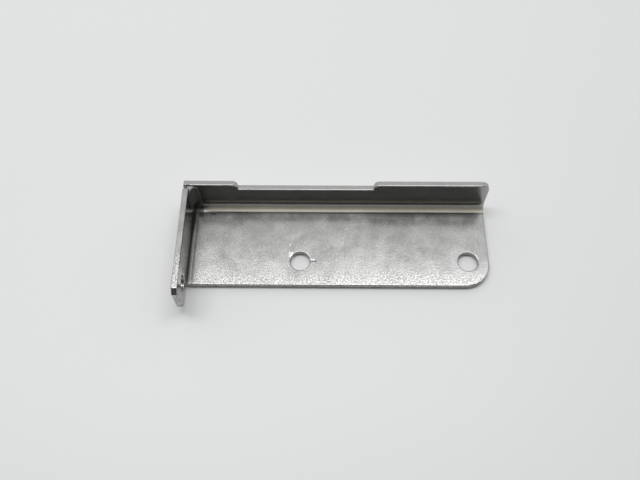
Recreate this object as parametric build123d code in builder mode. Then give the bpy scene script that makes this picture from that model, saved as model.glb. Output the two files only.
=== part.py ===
from build123d import *
import os

# Mount bracket for a gas spring, folded from steel sheet. Millimetres, lying on its base plate.
# +X runs along the plate, away from the tab. +Y points to the back flange. +Z is up.

# Sheet and folds
sheet = 3.0
back_bend_radius = 4.1
side_bend_radius = 1.6
edge_round = 0.5

# Base plate, measured from the inner faces of the two flanges
plate_length = 150.0
plate_depth = 45.0
plate_corner_radius = 12.5

# Back flange
flange_height = 23.0
notch_depth = 4.0
notch_start = 24.0
notch_length = 68.4
ear_radius = 3.0
end_ear_radius = 4.2
start_ear_radius = 1.2
notch_root_radius = 0.6

# Side flange and the tab it runs out into
tab_reach = 13.0
tab_bottom = 3.8
tab_chamfer = 2.5
tab_toe_radius = 2.8
tab_root_radius = 0.6

# Two screw holes in the plate, placed from its free end
hole_diameter = 10.0
hole_pitch = 84.0
hole_from_end = 10.5
hole_from_front = 13.3

# Ball stud hole in the tab
stud_hole_diameter = 7.6
stud_hole_from_tip = 9.7
stud_hole_height = 12.6

# Corner between the flanges: open slot outside, weld bead inside
corner_gap = 1.6
weld_leg = 4.4
weld_throat = 1.6
weld_root = 1.0
weld_drop = 2.6
weld_rim_radius = 0.6
weld_bite = 0.8
weld_below_top = 0.6

# Places worked out from the sizes above
overall_length = plate_length + sheet
overall_depth = tab_reach + plate_depth + sheet
x_outer = -overall_length / 2
x_inner = x_outer + sheet
x_end = overall_length / 2
y_tip = -overall_depth / 2
y_front = y_tip + tab_reach
y_inner = y_front + plate_depth
y_outer = y_inner + sheet
back_fold_top = sheet + back_bend_radius
notch_floor = flange_height - notch_depth
side_wall_end = y_inner - corner_gap
notch_left = x_inner + notch_start
notch_right = notch_left + notch_length
weld_reach = weld_leg + weld_bite
weld_top = flange_height - weld_below_top


def is_cut_edge(edge, body):
    """True where two faces meet at a sharp outside edge, away from the slot at the corner."""
    middle = edge.center()
    at_corner = middle.X < x_inner + weld_bite and middle.Y > side_wall_end - weld_bite
    if at_corner and middle.Z < flange_height - edge_round:
        return False
    sides = [face for face in body.faces() if edge in face.edges()]
    if len(sides) != 2:
        return False
    middle = edge.position_at(0.5)
    first = sides[0].normal_at(middle)
    second = sides[1].normal_at(middle)
    if first.get_angle(second) < 60:
        return False
    beside = middle + (first - second) * 0.02
    return not body.is_inside(beside)


def tray_block(inset, front, reach):
    """Block with the two fold profiles crossed, inset from the outer skin, open sides extended."""
    back = y_outer - inset
    left = x_outer + inset
    with BuildPart() as block:
        with BuildSketch(Plane.YZ.offset(left)) as seen_from_end:
            with BuildLine():
                Polyline(
                    (front, inset),
                    (back, inset),
                    (back, flange_height + reach),
                    (front, flange_height + reach),
                    close=True,
                )
            make_face()
            back_corner = seen_from_end.vertices().sort_by_distance((back, inset, 0))[0]
            fillet(back_corner, back_bend_radius + sheet - inset)
        extrude(amount=x_end + reach - left)
        with BuildSketch(Plane.XZ.offset(-back)) as seen_from_front:
            with BuildLine():
                Polyline(
                    (left, inset),
                    (x_end + reach, inset),
                    (x_end + reach, flange_height + reach),
                    (left, flange_height + reach),
                    close=True,
                )
            make_face()
            side_corner = seen_from_front.vertices().sort_by_distance((left, inset, 0))[0]
            fillet(side_corner, side_bend_radius + sheet - inset)
        extrude(amount=back - front, mode=Mode.INTERSECT)
    return block.part


with BuildPart() as bracket:
    # Folded tray: base plate, back flange and side flange, with the fold radii inside and outside
    add(tray_block(0, y_tip, 0))
    add(tray_block(sheet, y_tip - sheet, sheet), mode=Mode.SUBTRACT)

    # Outline seen from the end: in front of the plate only the side flange runs on, as a tab
    with BuildSketch(Plane.YZ.offset(x_outer)) as end_outline:
        with BuildLine():
            Polyline(
                (y_tip, tab_bottom),
                (y_front, tab_bottom),
                (y_front, 0),
                (y_outer, 0),
                (y_outer, flange_height),
                (y_tip, flange_height),
                close=True,
            )
        make_face()
        fillet(end_outline.vertices().sort_by_distance((y_front, tab_bottom, 0))[0], tab_root_radius)
        chamfer(end_outline.vertices().sort_by_distance((y_tip, flange_height, 0))[0], tab_chamfer)
        fillet(end_outline.vertices().sort_by_distance((y_tip, tab_bottom, 0))[0], tab_toe_radius)
    extrude(amount=overall_length, mode=Mode.INTERSECT)

    # Long shallow notch in the top of the back flange, between two ears
    with BuildSketch(Plane.XZ.offset(-y_inner)) as notch:
        with BuildLine():
            Polyline(
                (notch_left, notch_floor),
                (notch_right, notch_floor),
                (notch_right, flange_height + sheet),
                (notch_left, flange_height + sheet),
                close=True,
            )
        make_face()
        fillet(notch.vertices().group_by(Axis.Y)[0], notch_root_radius)
    extrude(amount=-sheet, mode=Mode.SUBTRACT)
    through_back = bracket.edges().filter_by(Axis.Y).group_by(Axis.Z)[-1].sort_by(Axis.X)
    through_back = through_back.filter_by(lambda edge: edge.center().Y > y_inner)
    fillet(through_back[-3:-1], ear_radius)
    through_back = bracket.edges().filter_by(Axis.Y).sort_by_distance((x_end, y_outer, flange_height))
    fillet(through_back[0], end_ear_radius)

    # Round front right corner of the plate
    through_plate = bracket.edges().filter_by(Axis.Z).sort_by_distance((x_end, y_front, 0))
    fillet(through_plate[0], plate_corner_radius)

    # Slot that parts the end of the side flange from the back flange
    with BuildSketch(Plane.YZ.offset(x_outer)) as slot:
        with Locations((side_wall_end, back_fold_top)):
            Rectangle(corner_gap, flange_height, align=(Align.MIN, Align.MIN))
    extrude(amount=sheet, mode=Mode.SUBTRACT)

    # Screw holes through the plate
    with BuildSketch() as screw_holes:
        with Locations(
            (x_end - hole_from_end - hole_pitch, y_front + hole_from_front),
            (x_end - hole_from_end, y_front + hole_from_front),
        ):
            Circle(hole_diameter / 2)
    extrude(amount=sheet, mode=Mode.SUBTRACT)

    # Ball stud hole through the tab
    with BuildSketch(Plane.YZ.offset(x_outer)) as stud_hole:
        with Locations((y_tip + stud_hole_from_tip, stud_hole_height)):
            Circle(stud_hole_diameter / 2)
    extrude(amount=sheet, mode=Mode.SUBTRACT)

    # Every cut edge of the sheet is lightly rounded
    cut_edges = bracket.edges().filter_by(lambda edge: is_cut_edge(edge, bracket.part))
    fillet(cut_edges, edge_round)

    # Round the top corner of the back flange over the slot
    with BuildSketch(Plane.XZ.offset(-y_inner)) as start_corner:
        with Locations((x_outer, flange_height)):
            Rectangle(2 * start_ear_radius, 2 * start_ear_radius)
        with Locations((x_outer + start_ear_radius, flange_height - start_ear_radius)):
            Circle(start_ear_radius, mode=Mode.SUBTRACT)
    extrude(amount=-sheet, mode=Mode.SUBTRACT)

# Weld in the inner corner: a round bar with a domed top, trimmed to a hollow fillet
with BuildPart() as bead:
    with BuildSketch(Plane.XZ) as bead_profile:
        with BuildLine():
            TangentArc((0, weld_top), (weld_reach, weld_top - weld_drop), tangent=(1, 0))
            Polyline(
                (weld_reach, weld_top - weld_drop),
                (weld_reach, 0),
                (0, 0),
                (0, weld_top),
            )
        make_face()
    revolve(axis=Axis.Z)

with BuildPart() as corner_weld:
    with Locations((x_inner, y_inner, 0)):
        add(bead.part)
    with BuildSketch() as corner_plan:
        with BuildLine():
            ThreePointArc(
                (x_inner, y_inner - weld_leg),
                (x_inner + weld_throat, y_inner - weld_throat),
                (x_inner + weld_leg, y_inner),
            )
            Polyline(
                (x_inner + weld_leg, y_inner),
                (x_inner + weld_leg, y_inner + weld_bite),
                (x_inner - weld_root, y_inner + weld_bite),
                (x_inner - weld_root, side_wall_end - weld_bite),
                (x_inner - weld_bite, side_wall_end - weld_bite),
                (x_inner - weld_bite, y_inner - weld_leg),
                (x_inner, y_inner - weld_leg),
            )
        make_face()
    extrude(amount=flange_height, mode=Mode.INTERSECT)
    crest = (x_inner + weld_throat, y_inner - weld_throat, weld_top)
    fillet(corner_weld.edges().sort_by_distance(crest)[0], weld_rim_radius)
    add(tray_block(sheet / 2, y_front, 0), mode=Mode.INTERSECT)

with bracket:
    add(corner_weld.part)

bracket.part.label = "bracket"
os.makedirs("parts", exist_ok=True)
export_step(bracket.part, "parts/bracket.step")
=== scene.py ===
# %% [markdown]
# # A folded steel bracket on a pale table
# This notebook dresses the CAD model of a gas spring's mount bracket. It is one piece of steel
# sheet, 3 mm thick: a base plate with two screw holes, a notched flange along the back, and a side
# flange that runs forward into a drilled tab. A weld bead closes the inner corner.
# The CAD solid already has every fold, hole and round, so it is kept as it is, and the lesson is
# about its surface, the light and the camera.

# %% Load the frame
import math

import bmesh
import bpy
from mathutils import Matrix, Vector


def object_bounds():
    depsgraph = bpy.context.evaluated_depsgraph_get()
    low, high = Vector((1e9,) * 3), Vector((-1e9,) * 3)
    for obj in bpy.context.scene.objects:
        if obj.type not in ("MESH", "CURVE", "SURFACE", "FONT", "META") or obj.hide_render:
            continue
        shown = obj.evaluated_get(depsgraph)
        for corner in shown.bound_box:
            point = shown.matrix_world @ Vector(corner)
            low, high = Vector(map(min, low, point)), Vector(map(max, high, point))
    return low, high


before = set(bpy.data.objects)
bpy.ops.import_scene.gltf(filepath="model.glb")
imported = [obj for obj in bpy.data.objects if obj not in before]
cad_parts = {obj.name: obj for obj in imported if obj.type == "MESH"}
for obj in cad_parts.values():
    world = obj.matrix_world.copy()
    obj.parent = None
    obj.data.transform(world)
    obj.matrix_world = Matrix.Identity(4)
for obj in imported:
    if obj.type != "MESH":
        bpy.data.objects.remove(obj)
cad_low, cad_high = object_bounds()
scene = bpy.context.scene
scene.view_settings.view_transform = "Standard"
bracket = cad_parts["bracket"]
print("CAD box, m:", [round(v, 4) for v in (*cad_low, *cad_high)])

# %% [markdown]
# ## Small helpers
# Lengths are written in millimetres and turned to metres by one factor. Colours are written as the
# hex values an artist picks on a screen, which are sRGB, and the shader wants linear light.
# One function adds a node with its settings and its links, so each material reads as a list of
# what it is made of. Most inputs go by their names, with _ for a space. Some nodes have several
# inputs of one name, so those go by number: i6 and i7 are the two colours of a colour mixer, and i0
# and i1 the two values of a maths node.

# %% Units, colours and nodes
MM = 0.001


def linear(hex_colour):
    """Turns an sRGB hex colour into the linear RGBA that a shader expects."""
    channels = [int(hex_colour[i : i + 2], 16) / 255 for i in (1, 3, 5)]
    light = [c / 12.92 if c <= 0.04045 else ((c + 0.055) / 1.055) ** 2.4 for c in channels]
    return (*light, 1.0)


def add_node(tree, kind, settings=None, **inputs):
    """Adds one node. A tuple (node, output) given for an input is a link, the rest is a value."""
    node = tree.nodes.new(kind)
    for name, value in (settings or {}).items():
        setattr(node, name, value)
    for name, value in inputs.items():
        key = int(name[1:]) if name[0] == "i" and name[1:].isdigit() else name.replace("_", " ")
        if isinstance(value, tuple) and isinstance(value[0], bpy.types.Node):
            tree.links.new(value[0].outputs[value[1]], node.inputs[key])
        else:
            node.inputs[key].default_value = value
    return node


def empty_material(name):
    """Makes a material with nothing in its node tree."""
    material = bpy.data.materials.new(name)
    material.use_nodes = True
    material.node_tree.nodes.clear()
    return material


print("middle grey in linear light:", round(linear("#808080")[0], 3))

# %% [markdown]
# ## Bare rolled steel
# The sheet is cold rolled and then left bare: a satin metal, not brushed. Close up it has a fine
# grain, which glints where the edge of a lamp is mirrored in it, and cloudy patches where oil and
# handling have dulled it. It could be a flat grey metal, but then the plate would look like plastic
# film. Noise of two sizes does it. The real grain is about 0.2 mm, too fine to show at this
# distance, so it is drawn coarser.
# Everything reads Object coordinates, which stay with the part when it is turned.

# %% Grain and clouds
GRAIN_MM = 1.0
CLOUD_MM = 7.0

steel = empty_material("bare_rolled_steel")
tree = steel.node_tree
place = add_node(tree, "ShaderNodeTexCoord")
clouds = add_node(
    tree,
    "ShaderNodeTexNoise",
    Vector=(place, "Object"),
    Scale=1 / (CLOUD_MM * MM),
    Detail=4.0,
    Roughness=0.6,
)
grain = add_node(
    tree,
    "ShaderNodeTexNoise",
    Vector=(place, "Object"),
    Scale=1 / (GRAIN_MM * MM),
    Detail=2.0,
    Roughness=0.6,
)
print("a cloud is as wide as", CLOUD_MM / GRAIN_MM, "grains")

# %% [markdown]
# ## Where the finish changes
# Folds, cut edges, the weld and the places that rub have finishes of their own. The sizes of the
# CAD model say where they are, so soft boxes pick them out. Painting them by hand, or picking faces,
# would be lost as soon as the CAD model is built again.
# A box is a list of fades. Each fade names an axis, the place in mm where the finish is absent and
# the place where it is full. The fades of a box are multiplied, and of several boxes the strongest
# counts. Places in X and Y are measured from the CAD box, and heights from the plate's underside,
# which is at 0.

# %% Soft boxes
def zone_mask(tree, spot, boxes):
    """Joins soft boxes, each a list of fades (axis, none_mm, full_mm), into one mask."""
    mask = None
    for fades in boxes:
        inside = None
        for axis, none_mm, full_mm in fades:
            fade = add_node(
                tree,
                "ShaderNodeMapRange",
                {"interpolation_type": "SMOOTHSTEP"},
                Value=(spot, axis),
                From_Min=none_mm * MM,
                From_Max=full_mm * MM,
            )
            if inside is None:
                inside = fade
            else:
                both = {"operation": "MULTIPLY"}
                inside = add_node(tree, "ShaderNodeMath", both, i0=(inside, 0), i1=(fade, 0))
        if mask is None:
            mask = inside
        else:
            either = {"operation": "MAXIMUM"}
            mask = add_node(tree, "ShaderNodeMath", either, i0=(mask, 0), i1=(inside, 0))
    return mask


SHEET = 3.0
TAB_REACH = 13.0

spot = add_node(tree, "ShaderNodeSeparateXYZ", Vector=(place, "Object"))
x_left, y_tip, _ = (v / MM for v in cad_low)
x_end, y_back, z_top = (v / MM for v in cad_high)
side_face = x_left + SHEET
back_face = y_back - SHEET
plate_front = y_tip + TAB_REACH
print("inner face of the side flange, X in mm:", round(side_face, 1))
print("inner face of the back flange, Y in mm:", round(back_face, 1))
print("front edge of the plate, Y in mm:", round(plate_front, 1))

# %% [markdown]
# ## Rolled face
# Seen from the front, the plate is calm at the back and glitters along its front edge, where the
# edge of the lamp is mirrored in its grain. The clouds shift the grey a little everywhere. The
# speckle is the grain again, this time in the colour, and towards the front it is turned up as
# painted glints. Grain in the bump alone would do at close range, but from here its tiny glints
# average out.

# %% Rolled face
SPECKLE_CALM = 0.11
SPECKLE_GLINTING = 0.52
GRAIN_LOW = 0.38
GRAIN_HIGH = 0.62

# Painted glints: the speckle is turned up along the front edge, where the lamp's edge is mirrored.
painted_glint_front = zone_mask(tree, spot, [[("Y", plate_front + 9.5, plate_front + 2.0)]])
cloudy_tone = add_node(
    tree,
    "ShaderNodeMix",
    {"data_type": "RGBA"},
    Factor=(clouds, "Fac"),
    i6=linear("#A1A1A0"),
    i7=linear("#B0B0AF"),
)
speckle = add_node(
    tree, "ShaderNodeMapRange", Value=(grain, "Fac"), From_Min=GRAIN_LOW, From_Max=GRAIN_HIGH
)
speckled_tone = add_node(
    tree,
    "ShaderNodeMix",
    {"data_type": "RGBA"},
    Factor=(speckle, "Result"),
    i6=linear("#7A7A77"),
    i7=linear("#D2D2D0"),
)
speckle_share = add_node(
    tree, "ShaderNodeMapRange", Value=(painted_glint_front, 0), To_Min=SPECKLE_CALM, To_Max=SPECKLE_GLINTING
)
rolled_tone = add_node(
    tree,
    "ShaderNodeMix",
    {"data_type": "RGBA"},
    Factor=(speckle_share, "Result"),
    i6=(cloudy_tone, 2),
    i7=(speckled_tone, 2),
)
print("speckle from the back to the front:", SPECKLE_CALM, "to", SPECKLE_GLINTING)

# %% [markdown]
# ## Back fold
# Bending stretches the sheet, so the inside of the back fold comes out rough and straw coloured,
# and catches light as a pale band; its straw colour is also paler than the plate, as a painted
# highlight. A thin dark line of painted shade runs along its foot, where the fold runs out into the
# plate. Both fade out towards the welded corner.
# Only the inside is treated: the limits in Y and Z keep the mask off the plate, the flange and the
# outside of the bend.

# %% Back fold
BAND = [
    ("Y", back_face - 3.7, back_face - 3.3),
    ("Y", back_face - 0.3, back_face - 0.7),
    ("Z", 5.3, 4.6),
    ("Z", 2.0, 2.6),
    ("X", side_face + 3.5, side_face + 9.5),
]
# Painted shade: a thin dark line along the foot of the fold.
FOOT = [
    ("Y", back_face - 3.2, back_face - 3.5),
    ("Y", back_face - 4.6, back_face - 4.0),
    ("Z", 4.6, 4.2),
    ("Z", 2.0, 2.6),
    ("X", side_face + 3.5, side_face + 9.5),
]
folded = zone_mask(tree, spot, [BAND])
foot_shade = zone_mask(tree, spot, [FOOT])
# Straw tint of the stretched sheet, made paler than the plate as a painted highlight on the fold.
straw_and_highlight = add_node(
    tree,
    "ShaderNodeMix",
    {"data_type": "RGBA"},
    Factor=(clouds, "Fac"),
    i6=linear("#CFCCBD"),
    i7=linear("#E6E3D6"),
)
folded_tone = add_node(
    tree,
    "ShaderNodeMix",
    {"data_type": "RGBA"},
    Factor=(folded, 0),
    i6=(rolled_tone, 2),
    i7=(straw_and_highlight, 2),
)
foot_shaded_tone = add_node(
    tree,
    "ShaderNodeMix",
    {"data_type": "RGBA"},
    Factor=(foot_shade, 0),
    i6=(folded_tone, 2),
    i7=linear("#4A4A48"),
)
print("pale band, Y in mm:", round(BAND[0][1], 1), "to", round(BAND[1][1], 1))

# %% [markdown]
# ## Side flange and weld
# Painted shade leaves the inside of the side flange and the corner itself darker than the plate.
# The weld is rough as well: on a smooth weld the lamp would show as a white spot on its domed top.
# The root of the weld reaches a little way into the slot between the flanges, so it has a box of its
# own there. The corner's painted shade goes down to the plate, and the weld's roughness starts
# above the folds.

# %% Side flange and weld
SIDE = [
    ("X", side_face + 3.5, side_face + 1.9),
    ("X", side_face - 0.5, side_face - 0.2),
    ("Y", plate_front - 1.5, plate_front + 3.5),
    ("Y", back_face - 0.3, back_face - 0.7),
    ("Z", 2.0, 2.6),
]
CORNER = [
    ("X", side_face + 5.1, side_face + 4.3),
    ("X", side_face - 0.5, side_face - 0.2),
    ("Y", back_face - 7.5, back_face - 6.0),
    ("Y", back_face - 0.1, back_face - 0.3),
]
ABOVE_FOLDS = [("Z", 8.0, 10.0)]
WELD_ROOT = [
    ("X", side_face - 1.5, side_face - 1.2),
    ("X", side_face + 0.2, side_face - 0.1),
    ("Y", back_face - 1.9, back_face - 1.6),
    ("Y", back_face + 0.9, back_face + 0.6),
    *ABOVE_FOLDS,
]
# Painted shade: the inside of the side flange, the corner and the weld's root are darkened.
flange_and_corner_shade = zone_mask(tree, spot, [SIDE, CORNER, WELD_ROOT])
welded = zone_mask(tree, spot, [CORNER + ABOVE_FOLDS, WELD_ROOT])
corner_shaded_tone = add_node(
    tree,
    "ShaderNodeMix",
    {"data_type": "RGBA"},
    Factor=(flange_and_corner_shade, 0),
    i6=(foot_shaded_tone, 2),
    i7=linear("#7A7977"),
)
print("painted_shade in the corner, X in mm up to:", round(CORNER[0][1], 1))

# %% [markdown]
# ## Handling marks
# A bright burr and a dark gouge run out from the hole near the middle, to its right. A bright rub
# touches its rim at the left, with a small nick behind it, and a dark spot sits at the foot of the
# back fold, near the welded corner. They could be cut into the mesh, but they are hardly deeper
# than the grain, so a change of tone is enough.

# %% Handling marks
HOLE_FROM_END = 94.5
HOLE_FROM_FRONT = 13.3

hole_x = x_end - HOLE_FROM_END
hole_y = plate_front + HOLE_FROM_FRONT
BURR = [
    ("X", hole_x + 4.7, hole_x + 5.2),
    ("X", hole_x + 7.6, hole_x + 7.0),
    ("Y", hole_y + 0.2, hole_y + 0.5),
    ("Y", hole_y + 1.2, hole_y + 0.9),
]
GOUGE = [
    ("X", hole_x + 4.8, hole_x + 5.2),
    ("X", hole_x + 8.6, hole_x + 8.1),
    ("Y", hole_y - 0.7, hole_y - 0.4),
    ("Y", hole_y + 0.2, hole_y - 0.1),
]
RUB = [
    ("X", hole_x - 6.0, hole_x - 5.4),
    ("X", hole_x - 3.4, hole_x - 4.0),
    ("Y", hole_y + 1.8, hole_y + 2.4),
    ("Y", hole_y + 5.4, hole_y + 4.6),
]
NICK = [
    ("X", hole_x - 5.6, hole_x - 5.3),
    ("X", hole_x - 4.8, hole_x - 5.1),
    ("Y", hole_y + 8.1, hole_y + 8.4),
    ("Y", hole_y + 10.0, hole_y + 9.6),
]
DARK_SPOT = [
    ("X", side_face + 8.9, side_face + 9.3),
    ("X", side_face + 11.3, side_face + 10.9),
    ("Y", back_face - 5.5, back_face - 5.1),
    ("Y", back_face - 3.1, back_face - 3.5),
]
bright_marks = zone_mask(tree, spot, [BURR, RUB, NICK])
dark_marks = zone_mask(tree, spot, [GOUGE, DARK_SPOT])
gouged_tone = add_node(
    tree,
    "ShaderNodeMix",
    {"data_type": "RGBA"},
    Factor=(dark_marks, 0),
    i6=(corner_shaded_tone, 2),
    i7=linear("#6A6A68"),
)
tone = add_node(
    tree,
    "ShaderNodeMix",
    {"data_type": "RGBA"},
    Factor=(bright_marks, 0),
    i6=(gouged_tone, 2),
    i7=linear("#DCDCDA"),
)
print("hole centre, mm:", round(hole_x, 1), round(hole_y, 1))

# %% [markdown]
# ## Dullness
# Roughness sets how far each place smears what it mirrors. The rolled face is satin and varies with
# the clouds. The fold and the weld are dull. Shearing leaves fresh metal without clouds, so the cut
# edges have one even value: the tops of the ears, the floor of the notch, the plate's front edge,
# its free end and the tip of the tab.

# %% Dullness
ROLLED_SHINIEST = 0.20
ROLLED_DULLEST = 0.27
FOLD_DULLNESS = 0.62
WELD_DULLNESS = 0.5
EDGE_DULLNESS = 0.23
CLOUDS_LOW = 0.3
CLOUDS_HIGH = 0.7

NOTCH_START = 24.0
NOTCH_LENGTH = 68.4
NOTCH_DEPTH = 4.0

notch_left = side_face + NOTCH_START
notch_right = notch_left + NOTCH_LENGTH
notch_floor = z_top - NOTCH_DEPTH
EAR_TOPS = [
    ("Z", z_top - 0.6, z_top - 0.2),
    ("X", side_face + 0.5, side_face + 1.5),
]
NOTCH_FLOOR = [
    ("Z", notch_floor - 0.6, notch_floor - 0.2),
    ("X", notch_left, notch_left + 0.6),
    ("X", notch_right, notch_right - 0.6),
]
FRONT_EDGE = [
    ("Y", plate_front + 0.9, plate_front + 0.4),
    ("X", side_face + 2.5, side_face + 3.5),
]
FREE_END = [("X", x_end - 0.7, x_end - 0.3)]
TAB_TIP = [("Y", y_tip + 0.7, y_tip + 0.3)]
cut_edges = [EAR_TOPS, NOTCH_FLOOR, FRONT_EDGE, FREE_END, TAB_TIP]
sheared = zone_mask(tree, spot, cut_edges)
rolled_dullness = add_node(
    tree,
    "ShaderNodeMapRange",
    Value=(clouds, "Fac"),
    From_Min=CLOUDS_LOW,
    From_Max=CLOUDS_HIGH,
    To_Min=ROLLED_SHINIEST,
    To_Max=ROLLED_DULLEST,
)
folded_dullness = add_node(
    tree, "ShaderNodeMix", Factor=(folded, 0), A=(rolled_dullness, "Result"), B=FOLD_DULLNESS
)
welded_dullness = add_node(
    tree, "ShaderNodeMix", Factor=(welded, 0), A=(folded_dullness, 0), B=WELD_DULLNESS
)
dullness = add_node(
    tree, "ShaderNodeMix", Factor=(sheared, 0), A=(welded_dullness, 0), B=EDGE_DULLNESS
)
print("cut edges:", len(cut_edges))

# %% [markdown]
# ## Steel
# Tone and dullness meet in one metal shader, with the grain as a very shallow bump. A metal keeps
# the default IOR. The CAD node's slot gets this steel in place of the plain one.

# %% Steel
GRAIN_DEPTH_MM = 0.025
GRAIN_STRENGTH = 0.7

bump = add_node(
    tree,
    "ShaderNodeBump",
    Strength=GRAIN_STRENGTH,
    Distance=GRAIN_DEPTH_MM * MM,
    Height=(grain, "Fac"),
)
skin = add_node(
    tree,
    "ShaderNodeBsdfPrincipled",
    Base_Color=(tone, 2),
    Metallic=1.0,
    Roughness=(dullness, 0),
    Normal=(bump, "Normal"),
)
add_node(tree, "ShaderNodeOutputMaterial", Surface=(skin, "BSDF"))
for material_slot in bracket.material_slots:
    material_slot.material = steel
print("steel nodes:", len(tree.nodes))

# %% [markdown]
# ## Table
# The bracket lies on a white, slightly glossy laminate table that fills the picture. One large
# square is enough.

# %% Table
TABLE_SIZE = 12.0

table_mesh = bpy.data.meshes.new("table_top")
shape = bmesh.new()
bmesh.ops.create_grid(shape, x_segments=1, y_segments=1, size=TABLE_SIZE / 2)
shape.to_mesh(table_mesh)
shape.free()
table = bpy.data.objects.new("table_top", table_mesh)
scene.collection.objects.link(table)
laminate = empty_material("white_laminate")
tree = laminate.node_tree
top = add_node(
    tree, "ShaderNodeBsdfPrincipled", Base_Color=linear("#E1E2E2"), Roughness=0.45
)
add_node(tree, "ShaderNodeOutputMaterial", Surface=(top, "BSDF"))
table_mesh.materials.append(laminate)
print("table, m:", TABLE_SIZE)

# %% [markdown]
# ## Light
# The plate is a dull mirror that faces the ceiling. Its front glows and its back is grey: the lamp
# is a long soft panel, nearly overhead, and the part of the ceiling that the plate mirrors lies just
# behind that panel, closest to it at the plate's front edge. The satin finish spreads the lamp's
# light that far. The back flange's inner face is nearly black, because it mirrors the plate, and
# through it the dark side of the room behind the camera.
# One could paint that gradient on the steel, but it would stay put when the part is turned. With a
# real panel and a room that is bright at the back and dark at the front, it comes by itself.
# An area lamp's radiance is its watts over four times its area, so the panel is set by level.
# Its sizes and places are in metres.

# %% Panel
PANEL_LENGTH = 1.2
PANEL_WIDTH = 0.27
PANEL_HEIGHT = 1.0
PANEL_BACK = 0.216
PANEL_ASIDE = -0.14
PANEL_TURN = math.radians(2.5)
PANEL_LEVEL = 4.9

panel_data = bpy.data.lights.new("ceiling_panel", "AREA")
panel_data.shape = "RECTANGLE"
panel_data.size = PANEL_LENGTH
panel_data.size_y = PANEL_WIDTH
panel_data.energy = 4 * PANEL_LENGTH * PANEL_WIDTH * PANEL_LEVEL
panel = bpy.data.objects.new("ceiling_panel", panel_data)
panel.location = (PANEL_ASIDE, PANEL_BACK, PANEL_HEIGHT)
panel.rotation_euler = (0, 0, PANEL_TURN)
scene.collection.objects.link(panel)
print("panel, W:", round(panel_data.energy, 1))

# %% [markdown]
# ## Room
# The room is a vault of grey levels over the arc from the horizon behind the bracket (0 degrees)
# through the zenith (90) to the horizon on the viewer's side (180). The plate mirrors the arc at
# about 60 to 66 degrees, so the level drops there, from a bright back wall to a darker ceiling.
# From 118 degrees on the room is nearly black: that is what the flange shows by way of the plate.
# At table height the room is pale all round, so that the table runs into a pale background when it
# is seen from the side.

# %% Room
ROOM_LEVELS = {0: 1.0, 58: 0.84, 66: 0.3, 90: 0.62, 105: 0.55, 118: 0.14, 135: 0.04, 180: 0.13}
LOW_BAND_NONE = 0.25
LOW_BAND_FULL = 0.05

world = bpy.data.worlds.new("room")
scene.world = world
world.use_nodes = True
tree = world.node_tree
tree.nodes.clear()
look = add_node(tree, "ShaderNodeTexCoord")
split = add_node(tree, "ShaderNodeSeparateXYZ", Vector=(look, "Generated"))
arc = add_node(tree, "ShaderNodeMath", {"operation": "ARCTAN2"}, i0=(split, "Z"), i1=(split, "Y"))
share = add_node(tree, "ShaderNodeMath", {"operation": "DIVIDE"}, i0=(arc, 0), i1=math.pi)
vault = add_node(tree, "ShaderNodeValToRGB", Fac=(share, 0))
vault.color_ramp.interpolation = "EASE"
stops = vault.color_ramp.elements
stops.remove(stops[1])
for degrees, level in ROOM_LEVELS.items():
    stop = stops.new(degrees / 180) if degrees else stops[0]
    stop.color = (level, level, level, 1)
low_band = add_node(
    tree,
    "ShaderNodeMapRange",
    {"interpolation_type": "SMOOTHSTEP"},
    Value=(split, "Z"),
    From_Min=LOW_BAND_NONE,
    From_Max=LOW_BAND_FULL,
)
levels = add_node(
    tree,
    "ShaderNodeMix",
    {"data_type": "RGBA"},
    Factor=(low_band, "Result"),
    i6=(vault, "Color"),
    i7=linear("#DADBDB"),
)
room = add_node(tree, "ShaderNodeBackground", Color=(levels, 2))
add_node(tree, "ShaderNodeOutputWorld", Surface=(room, "Background"))
print("room stops:", [(round(180 * s.position), round(s.color[0], 2)) for s in stops])

# %% [markdown]
# ## Camera
# The view is steep, from the front and a little turned. The camera was found by matching the
# corners of the plate and its two holes, which lie in known places, so it has a focal length in
# pixels of a 640 pixel wide picture, three angles, a distance and a point that it looks at. Three
# directions are worked out from the angles: where it looks, its right-hand side and its lower side.

# %% Camera
FOCAL_PX = 677.514
IMAGE_PX = 640
ELEVATION = math.radians(62.582)
YAW = math.radians(-1.304)
ROLL = math.radians(0.861)
DISTANCE_MM = 348.410
AIM_MM = (-8.131, 9.192, 0.0)

forward = Vector(
    (
        math.sin(YAW) * math.cos(ELEVATION),
        math.cos(YAW) * math.cos(ELEVATION),
        -math.sin(ELEVATION),
    )
)
right = Vector((math.cos(YAW), -math.sin(YAW), 0))
down = forward.cross(right)
across = math.cos(ROLL) * right + math.sin(ROLL) * down
below = -math.sin(ROLL) * right + math.cos(ROLL) * down
camera_data = bpy.data.cameras.new("camera")
camera_data.sensor_width = 36.0
camera_data.lens = FOCAL_PX / IMAGE_PX * camera_data.sensor_width
camera_data.clip_start = 0.01
camera = bpy.data.objects.new("camera", camera_data)
turn = Matrix((across, -below, -forward)).transposed().to_4x4()
camera.matrix_world = Matrix.Translation((Vector(AIM_MM) - DISTANCE_MM * forward) * MM) @ turn
scene.collection.objects.link(camera)
scene.camera = camera
print("lens, mm:", round(camera_data.lens, 2))
